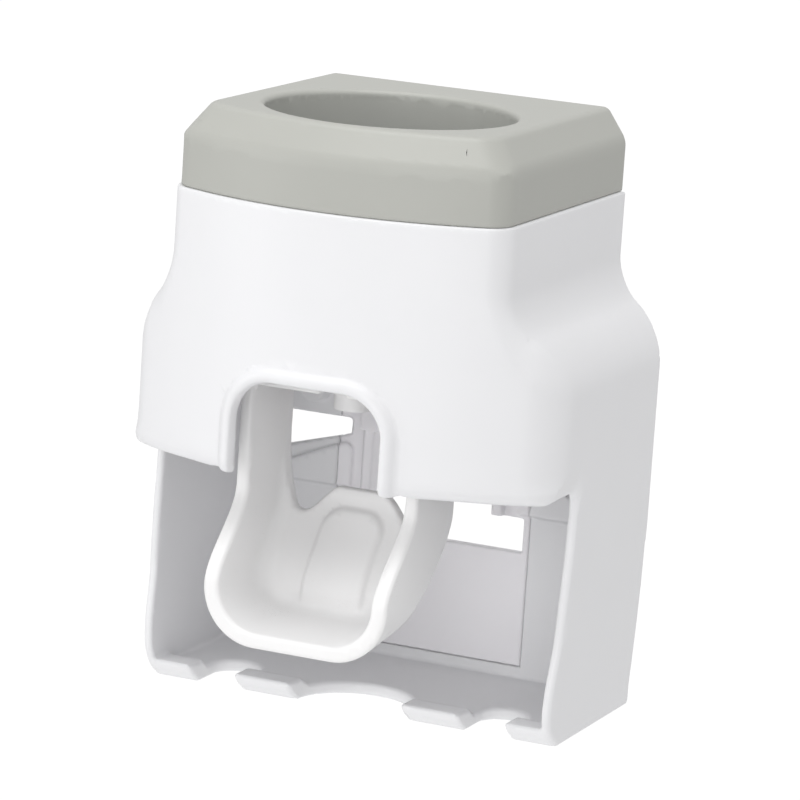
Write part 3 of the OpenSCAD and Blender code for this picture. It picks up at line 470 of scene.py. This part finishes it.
# Lever: cup, rear wall, arms, cross bar
lever = {
    "half": 22.4, "wall": 3.1, "cupWall": 3.75, "cupFade": (60.0, 44.0),
    "armFront": 67.5, "frontBends": ((13.8, 54.5, 34.5), (-2.0, 82.0, 97.0)),
    "armBack": 45.2, "backBends": ((11.8, 51.0, 30.0), (2.3, 80.0, 97.0)),
    "lowZ": 21.0, "lowDepth": 81.0, "slope": 0.12, "slopeCos": 0.993, "floorInset": 0.3,
    "pivotDepth": 56.5, "pivotZ": 97.0, "bossRadius": 9.0, "bushRadius": 4.0,
    "humpZ": 52.8, "humpHalf": 5.0, "dipZ": 46.4, "dipX": 13.5, "lipRise": 14.6,
    "padHalf": 7.6, "padTop": 48.4, "padLow": 23.0, "padRise": 1.4, "padRoot": 1.0,
    "barDepth": (64.3, 67.5), "barZ": (77.7, 89.0), "barEnd": 0.6, "notchHalf": 3.2, "notchTop": 80.2,
    "backRoundFade": (44.0, 26.0), "armFadeZ": (60.0, 68.0), "armFadeDepth": (60.0, 52.0),
    "rounds": {"corner": 13.0, "rim": 1.0, "armBack": 1.4, "cupBack": 7.4, "armInner": 0.3,
               "cupRear": 4.0, "gap": 1.0, "gapFoot": 0.8, "padCorner": 5.0, "padFace": 1.1,
               "padBack": 0.3, "padLow": 0.5, "padFoot": 0.7, "bar": 0.9, "notch": 0.8,
               "notchEdge": 0.5, "barSide": 0.3, "barFoot": 0.8, "hole": 0.25},
    "step": 0.4, "adaptivity": 0.08,
}


def frontDepth(z):
    return bent(lever["armFront"], lever["frontBends"], z)


def backDepth(z):
    return bent(lever["armBack"], lever["backBends"], z)


# The rear wall's top edge: a hump in the middle, a dip on both sides, a lip up to the arms
def wallTop(ax):
    p = lever
    hump = (p["humpZ"] - p["dipZ"]) * fade(ax, p["dipX"], p["humpHalf"])
    inner = p["half"] - p["wall"]
    lip = p["lipRise"] * (np.maximum(ax - p["dipX"], 0) / (inner - p["dipX"])) ** 3
    return p["dipZ"] + hump + lip


def leverField(x, y, z):
    p, r = lever, lever["rounds"]
    ax, depth = np.abs(x), -y
    pivot = np.hypot(depth - p["pivotDepth"], z - p["pivotZ"])
    above = z > p["pivotZ"]
    frontLean, backLean = leaning(frontDepth, z), leaning(backDepth, z)
    front = np.where(above, pivot - p["bossRadius"], (depth - frontDepth(z)) * frontLean)
    back = np.where(above, -p["bossRadius"], (backDepth(z) - depth) * backLean)
    bottom = (p["lowZ"] + p["slope"] * (p["lowDepth"] - depth) - z) * p["slopeCos"]
    outside = both(both(ax - p["half"], bottom, r["corner"]), front, r["rim"])
    backRound = r["armBack"] + (r["cupBack"] - r["armBack"]) * fade(z, *p["backRoundFade"])
    outside = both(outside, back, backRound)
    # cup, and the gap between the arms above the rear wall
    inner = p["half"] - p["wall"] - (p["cupWall"] - p["wall"]) * fade(z, *p["cupFade"])
    floor = bottom + p["cupWall"] - p["floorInset"]
    rearWall = (backDepth(z) + p["wall"] - depth) * backLean
    cup = both(both(ax - inner, floor, r["corner"] - p["wall"]), rearWall, r["cupRear"])
    gap = both((wallTop(ax) - z) * leaning(wallTop, ax), ax - inner, r["gap"])
    edge = r["rim"] - (r["rim"] - r["armInner"]) * fade(z, *p["armFadeZ"]) * fade(depth, *p["armFadeDepth"])
    body = without(outside, either(cup, gap, r["gapFoot"]), edge)
    # raised pad on the rear wall
    padSide = both(ax - p["padHalf"], z - p["padTop"], r["padCorner"])
    padFront = (depth - backDepth(z) - p["wall"] - p["padRise"]) * backLean
    pad = both(padSide, padFront, r["padFace"])
    pad = both(pad, rearWall - p["padRise"] - p["padRoot"], r["padBack"])
    body = either(body, both(pad, p["padLow"] - z, r["padLow"]), r["padFoot"])
    # cross bar with its notch, and the pivot's hole
    bar = both(band(depth, *p["barDepth"]), band(z, *p["barZ"]), r["bar"])
    notch = both(ax - p["notchHalf"], z - p["notchTop"], r["notch"])
    bar = both(without(bar, notch, r["notchEdge"]), ax - p["half"] + p["wall"] - p["barEnd"], r["barSide"])
    body = either(body, bar, r["barFoot"])
    return without(body, pivot - p["bushRadius"], r["hole"])


print("lever")
scoop = moulded("lever_scoop", leverField, (-23.6, -82.8, 19.8), (23.6, -43.6, 107.2),
                lever["step"], lever["adaptivity"])
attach(scoop, "lever")
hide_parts("push_lever")
scoop.data.materials.append(litWhiteLever)


# Back plate: panel in the housing's opening, pocket for the wall plate's rail, ears, posts for the pump
backPlate = {
    "half": 24.9, "depth": (2.4, 4.9), "z": (5.9, 98.0), "rootDepth": 2.6, "through": (0.0, 8.0),
    "pocketHalf": 18.5, "pocketFront": 9.6, "pocketZ": (57.5, 90.0),
    "earX": (21.0, 36.0), "earZ": (62.0, 96.0), "earDepth": (0.6, 2.6),
    "postX": 14.0, "postZ": 83.0, "postRadius": 3.5, "postDepth": (9.0, 18.0),
    "postHoleRadius": 1.25, "postHoleDepth": (10.6, 20.0),
    "windowHalf": 23.3, "windowZ": (33.2, 41.5), "neckHalf": 15.6, "neckZ": (40.5, 57.7),
    "guideX": (14.9, 18.4), "guideFront": 6.9, "guideZ": (41.5, 58.5),
    "channelHalf": 15.4, "channelDepth": (4.9, 7.6), "slotHalf": 11.9, "slotDepth": (0.0, 5.4),
    "channelZ": (56.5, 86.1), "screwHoleRadius": 1.6, "screwHoleDepth": (-1.0, 3.6),
    "headRadius": 2.9, "headDepth": (-1.0, 1.8),
    "rounds": {"plate": 0.12, "pocket": 0.8, "ear": 0.4, "guide": 0.7, "guideEnd": 0.5, "post": 0.3,
               "postFoot": 0.6, "panelEnd": 0.1, "guideFoot": 0.3, "window": 0.5, "neck": 0.4,
               "windowEdge": 0.4, "channel": 0.3, "hole": 0.2},
    "step": 0.5, "adaptivity": 0.1,
}


# A slab between limits in width, depth and height
def slab(across, thick, tall, round, endRound):
    return both(both(across, thick, round), tall, endRound)


def plateField(x, y, z):
    p, r = backPlate, backPlate["rounds"]
    ax, depth = np.abs(x), -y
    root = p["rootDepth"]
    plate = slab(ax - p["half"], band(depth, *p["depth"]), band(z, *p["z"]), r["plate"], r["plate"])
    pocket = slab(ax - p["pocketHalf"], band(depth, root, p["pocketFront"]), band(z, *p["pocketZ"]),
                  r["pocket"], r["pocket"])
    ear = slab(band(ax, *p["earX"]), band(depth, *p["earDepth"]), band(z, *p["earZ"]), r["ear"], r["ear"])
    guide = slab(band(ax, *p["guideX"]), band(depth, root, p["guideFront"]), band(z, *p["guideZ"]),
                 r["guide"], r["guideEnd"])
    postRing = np.hypot(ax - p["postX"], z - p["postZ"])
    post = both(postRing - p["postRadius"], band(depth, *p["postDepth"]), r["post"])
    panel = both(panelOf(ax, depth, z), ax - p["half"], r["panelEnd"])
    body = either(either(plate, pocket, r["pocket"]), either(ear, guide, r["guideFoot"]), r["ear"])
    body = either(either(body, post, r["postFoot"]), panel, r["guideEnd"])
    # window, side windows and the channel for the wall plate's rail
    wide = both(ax - p["windowHalf"], band(z, *p["windowZ"]), r["window"])
    narrow = both(ax - p["neckHalf"], band(z, *p["neckZ"]), r["neck"])
    for cut in (np.minimum(wide, narrow), ventOf(x, z)):
        body = without(body, np.maximum(cut, band(depth, *p["through"])), r["windowEdge"])
    rail = both(ax - p["channelHalf"], band(depth, *p["channelDepth"]), r["channel"])
    neck = both(ax - p["slotHalf"], band(depth, *p["slotDepth"]), r["channel"])
    channel = np.maximum(np.minimum(rail, neck), band(z, *p["channelZ"]))
    body = without(body, channel, r["channel"])
    # screw holes
    hole = both(postRing - p["postHoleRadius"], band(depth, *p["postHoleDepth"]), r["hole"])
    body = without(body, hole, r["hole"])
    for bossZ in housing["bossZ"]:
        ring = np.hypot(ax - housing["bossX"], z - bossZ)
        for radius, reach in (("screwHoleRadius", "screwHoleDepth"), ("headRadius", "headDepth")):
            body = without(body, np.maximum(ring - p[radius], band(depth, *p[reach])), r["hole"])
    return body


print("back plate")
plateShell = moulded("back_plate_shell", plateField, (-37, -19, 4.5), (37, 0.5, 99.5),
                     backPlate["step"], backPlate["adaptivity"])
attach(plateShell, "unit")
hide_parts("back_plate")
plateShell.data.materials.append(litWhiteBack)


# Geometry Nodes: a tree with named inputs, run on a host mesh and kept as a plain mesh
def grownPiece(name, hostPoints, inputs, build):
    host = bpy.data.meshes.new(name)
    host.from_pydata([(p[0] * mm, p[1] * mm, (p[2] + footZ) * mm) for p in hostPoints], [], [])
    base = linked(name + "_host", host)
    tree = bpy.data.node_groups.new(name, "GeometryNodeTree")
    tree.interface.new_socket(name="Geometry", in_out="INPUT", socket_type="NodeSocketGeometry")
    kinds = {float: "NodeSocketFloat", tuple: "NodeSocketVector"}
    for label, value in inputs.items():
        kind = kinds.get(type(value), "NodeSocketMaterial")
        tree.interface.new_socket(name=label, in_out="INPUT", socket_type=kind)
    tree.interface.new_socket(name="Geometry", in_out="OUTPUT", socket_type="NodeSocketGeometry")
    r = Recipe(tree)
    group = tree.nodes.new("NodeGroupInput")
    wires = {o.name: Wire(r, o) for o in group.outputs if o.name}
    r.node("NodeGroupOutput", None, {0: build(r, wires)})
    modifier = base.modifiers.new(name, "NODES")
    modifier.node_group = tree
    for item in tree.interface.items_tree:
        if item.in_out == "INPUT" and item.name in inputs:
            modifier[item.identifier] = inputs[item.name]
    bpy.context.view_layer.update()
    graph = bpy.context.evaluated_depsgraph_get()
    mesh = bpy.data.meshes.new_from_object(base.evaluated_get(graph), depsgraph=graph)
    base.modifiers.clear()
    bpy.data.objects.remove(base)
    print(f"{name}: {len(mesh.vertices)} points")
    return linked(name, mesh)


def raised(r, shape, height):
    offset = r.node("ShaderNodeCombineXYZ", None, {2: height})
    return r.node("GeometryNodeTransform", None, {0: shape, "Translation": offset})


# One real copy of the shape on each point of the host, in the tree's material
def setOnHost(r, wires, shape, sockets=None):
    spots = r.node("GeometryNodeMeshToPoints", None, {0: wires["Geometry"]})
    placed = r.node("GeometryNodeInstanceOnPoints", None, {
        "Points": spots, "Instance": shape, **(sockets or {})})
    real = r.node("GeometryNodeRealizeInstances", None, {0: placed})
    return r.node("GeometryNodeSetMaterial", None, {0: real, "Material": wires["material"]})


# Shares of the head's radius and height, and of the shank's radius and length
screwShape = {"sides": 40, "brim": 0.45, "crown": 0.55, "crownTop": 0.66, "slotLong": 1.3, "slotWide": 0.26,
              "slotZ": 1.1, "shankSides": 24, "core": 0.8, "threadRadius": 0.84, "threadWire": 0.16,
              "pitch": 0.72, "threadLength": 0.92, "threadLow": -0.96, "threadSteps": 20}


# A pan-head screw with a cross in its head and a thread, set on each point of the host
def screwTree(r, wires):
    s = screwShape
    headRadius, headHeight = wires["head radius"], wires["head height"]
    shankRadius, shankLength = wires["shank radius"], wires["shank length"]
    brim = r.node("GeometryNodeMeshCylinder", None, {
        "Vertices": s["sides"], "Radius": headRadius, "Depth": headHeight * s["brim"]})
    brim = raised(r, brim, headHeight * (s["brim"] / 2))
    crown = r.node("GeometryNodeMeshCone", None, {
        "Vertices": s["sides"], "Radius Bottom": headRadius, "Radius Top": headRadius * s["crownTop"],
        "Depth": headHeight * s["crown"]})
    crown = raised(r, crown, headHeight * s["brim"])
    long, thin = headRadius * s["slotLong"], headRadius * s["slotWide"]
    for across, along in ((long, thin), (thin, long)):
        size = r.node("ShaderNodeCombineXYZ", None, {0: across, 1: along, 2: headHeight})
        bar = raised(r, r.node("GeometryNodeMeshCube", None, {"Size": size}), headHeight * s["slotZ"])
        crown = r.node("GeometryNodeMeshBoolean", {"operation": "DIFFERENCE", "solver": "EXACT"},
                       {0: crown, 1: bar})
    shank = r.node("GeometryNodeMeshCylinder", None, {
        "Vertices": s["shankSides"], "Radius": shankRadius * s["core"], "Depth": shankLength})
    shank = raised(r, shank, shankLength * -0.5)
    helix = r.node("GeometryNodeCurveSpiral", None, {
        "Resolution": s["threadSteps"], "Rotations": shankLength / (shankRadius * s["pitch"]),
        "Start Radius": shankRadius * s["threadRadius"], "End Radius": shankRadius * s["threadRadius"],
        "Height": shankLength * s["threadLength"]})
    ridge = r.node("GeometryNodeCurvePrimitiveCircle", None, {
        "Resolution": 5, "Radius": shankRadius * s["threadWire"]})
    thread = r.node("GeometryNodeCurveToMesh", None, {
        "Curve": helix, "Profile Curve": ridge, "Fill Caps": True})
    thread = raised(r, thread, shankLength * s["threadLow"])
    screw = r.node("GeometryNodeJoinGeometry", None, {0: [brim, crown, shank, thread]})
    return setOnHost(r, wires, screw, {"Rotation": wires["turn"]})


print("screws")
screwSizes = {
    "back": {"points": [(side * housing["bossX"], -1.7, z) for side in (-1, 1) for z in housing["bossZ"]],
             "turn": (-math.pi / 2, 0.0, 0.0), "height": 1.1, "length": 6.7},
    "pump": {"points": [(side * backPlate["postX"], -21.5, backPlate["postZ"]) for side in (-1, 1)],
             "turn": (math.pi / 2, 0.0, 0.0), "height": 1.6, "length": 10.3},
}
for which, size in screwSizes.items():
    screws = grownPiece(which + "_screw_set", size["points"], {
        "head radius": 2.8 * mm, "head height": size["height"] * mm, "shank radius": 1.25 * mm,
        "shank length": size["length"] * mm, "turn": size["turn"], "material": steel}, screwTree)
    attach(screws, "unit")
    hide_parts(which + "_screws")


# The return spring: one wire wound round the pump's axis
def springTree(r, wires):
    coil = r.node("GeometryNodeCurveSpiral", None, {
        "Resolution": 32, "Rotations": wires["turns"], "Start Radius": wires["radius"],
        "End Radius": wires["radius"], "Height": wires["height"]})
    wire = r.node("GeometryNodeCurvePrimitiveCircle", None, {
        "Resolution": 10, "Radius": wires["wire radius"]})
    tube = r.node("GeometryNodeCurveToMesh", None, {
        "Curve": coil, "Profile Curve": wire, "Fill Caps": True})
    laid = r.node("GeometryNodeTransform", None, {0: tube, "Rotation": (math.pi / 2, 0.0, 0.0)})
    return setOnHost(r, wires, laid)


print("spring")
spring = {"wireRadius": 0.55 * mm, "turns": 5.0, "stroke": 3.85 * mm}
springLow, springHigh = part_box("return_spring")
springLength = springHigh.y - springLow.y
springZ = (springLow.z + springHigh.z) / 2
coil = grownPiece("coil_spring", [(0, (springHigh.y - spring["wireRadius"]) / mm, springZ / mm - footZ)], {
    "turns": spring["turns"], "radius": (springHigh.x - springLow.x) / 2 - spring["wireRadius"],
    "height": springLength - 2 * spring["wireRadius"], "wire radius": spring["wireRadius"],
    "material": steel}, springTree)
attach(coil, "unit")
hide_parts("return_spring")
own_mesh(coil)


print("finishes")
finishes = {
    silicone: ("tube_seat", "cap_seal", "piston_seal", "inlet_valve", "outlet_valve"),
    # The pump's parts get the darkened white, which is painted shade
    shadedWhiteInner: ("pump_body", "pump_rear_cap", "piston", "pivot_bushes"),
    # The spout and the wall plate get the lever's brightened white, which is painted light
    litWhiteLever: ("spout", "wall_plate"),
    steel: ("pivot_pins", "pin_clips"), foam: ("adhesive_pad",),
}
for finish, names in finishes.items():
    for name in names:
        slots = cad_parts[name].data.materials
        slots.clear()
        slots.append(finish)


print("camera and lights")
camera = {"azimuth": 23.168, "elevation": 11.757, "roll": 3.837, "place": (0.40194, -0.96807, 0.20525),
          "lens": 203.9, "film": 36.0, "clipStart": 0.05, "clipEnd": 100.0}
a, e, t = (math.radians(camera[k]) for k in ("azimuth", "elevation", "roll"))
level = Vector((math.cos(a), math.sin(a), 0))
upright = Vector((-math.sin(a) * math.sin(e), math.cos(a) * math.sin(e), math.cos(e)))
right = math.cos(t) * level + math.sin(t) * upright
up = math.cos(t) * upright - math.sin(t) * level
turn = Matrix((right, up, right.cross(up))).transposed().to_4x4()
eye = linked("photo_camera", bpy.data.cameras.new("photo_camera"))
eye.data.lens = camera["lens"]
eye.data.sensor_width = camera["film"]
eye.data.clip_start = camera["clipStart"]
eye.data.clip_end = camera["clipEnd"]
eye.matrix_world = Matrix.Translation(camera["place"]) @ turn
bpy.context.scene.camera = eye

studio = {
    "left": {"azimuth": -46, "height": 5, "far": 2.2, "size": 1.2, "power": 7.2},
    "front": {"azimuth": 15, "height": 10, "far": 2.2, "size": 1.2, "power": 7.6},
    "top": {"azimuth": 0, "height": 80, "far": 1.9, "size": 1.8, "power": 22.5},
}
aimAt = Vector((0, -0.04, 0))  # the middle of the dispenser
for name, lamp in studio.items():
    data = bpy.data.lights.new(name, "AREA")
    data.shape = "DISK"
    data.size = lamp["size"]
    data.energy = lamp["power"]
    light = linked(name, data)
    across, lift = math.radians(lamp["azimuth"]), math.radians(lamp["height"])
    outward = Vector((math.sin(across) * math.cos(lift), -math.cos(across) * math.cos(lift), math.sin(lift)))
    place = lamp["far"] * outward
    aim = (aimAt - place).to_track_quat("-Z", "Y").to_matrix().to_4x4()
    light.matrix_world = Matrix.Translation(place) @ aim

backdrop = {"soft": 0.60, "white": 1.06, "floor": (0.9, 0.9, 0.9, 1), "floorGlow": 1.08, "floorSeen": 0.9,
            "reach": 12.0, "drop": -0.55}
white = (1, 1, 1, 1)
world = bpy.data.worlds.new("studio")
bpy.context.scene.world = world
r = blankRecipe(world)
path = r.node("ShaderNodeLightPath").socket.node
seen = Wire(r, path.outputs["Is Camera Ray"]) + Wire(r, path.outputs["Is Transmission Ray"])
soft, bright = (r.node("ShaderNodeBackground", None, {"Color": white, "Strength": backdrop[key]})
                for key in ("soft", "white"))
mixed = r.node("ShaderNodeMixShader", None, {0: seen, 1: soft, 2: bright})
r.node("ShaderNodeOutputWorld", None, {0: mixed})

reach, drop = backdrop["reach"], backdrop["drop"]
floorMesh = bpy.data.meshes.new("floor")
corners = [(-reach, -reach), (reach, -reach), (reach, reach), (-reach, reach)]
floorMesh.from_pydata([(x, y, drop) for x, y in corners], [], [(0, 1, 2, 3)])
floor = linked("floor", floorMesh)
pale = bpy.data.materials.new("pale_floor")
r = blankRecipe(pale)
path = r.node("ShaderNodeLightPath").socket.node
seen = Wire(r, path.outputs["Is Camera Ray"]) * backdrop["floorSeen"]
lit = r.node("ShaderNodeBsdfDiffuse", None, {"Color": backdrop["floor"]})
bright = r.node("ShaderNodeEmission", None, {"Color": white, "Strength": backdrop["floorGlow"]})
mixed = r.node("ShaderNodeMixShader", None, {0: seen, 1: lit, 2: bright})
r.node("ShaderNodeOutputMaterial", None, {0: mixed})
floorMesh.materials.append(pale)

bpy.context.scene.view_settings.view_transform = "Standard"
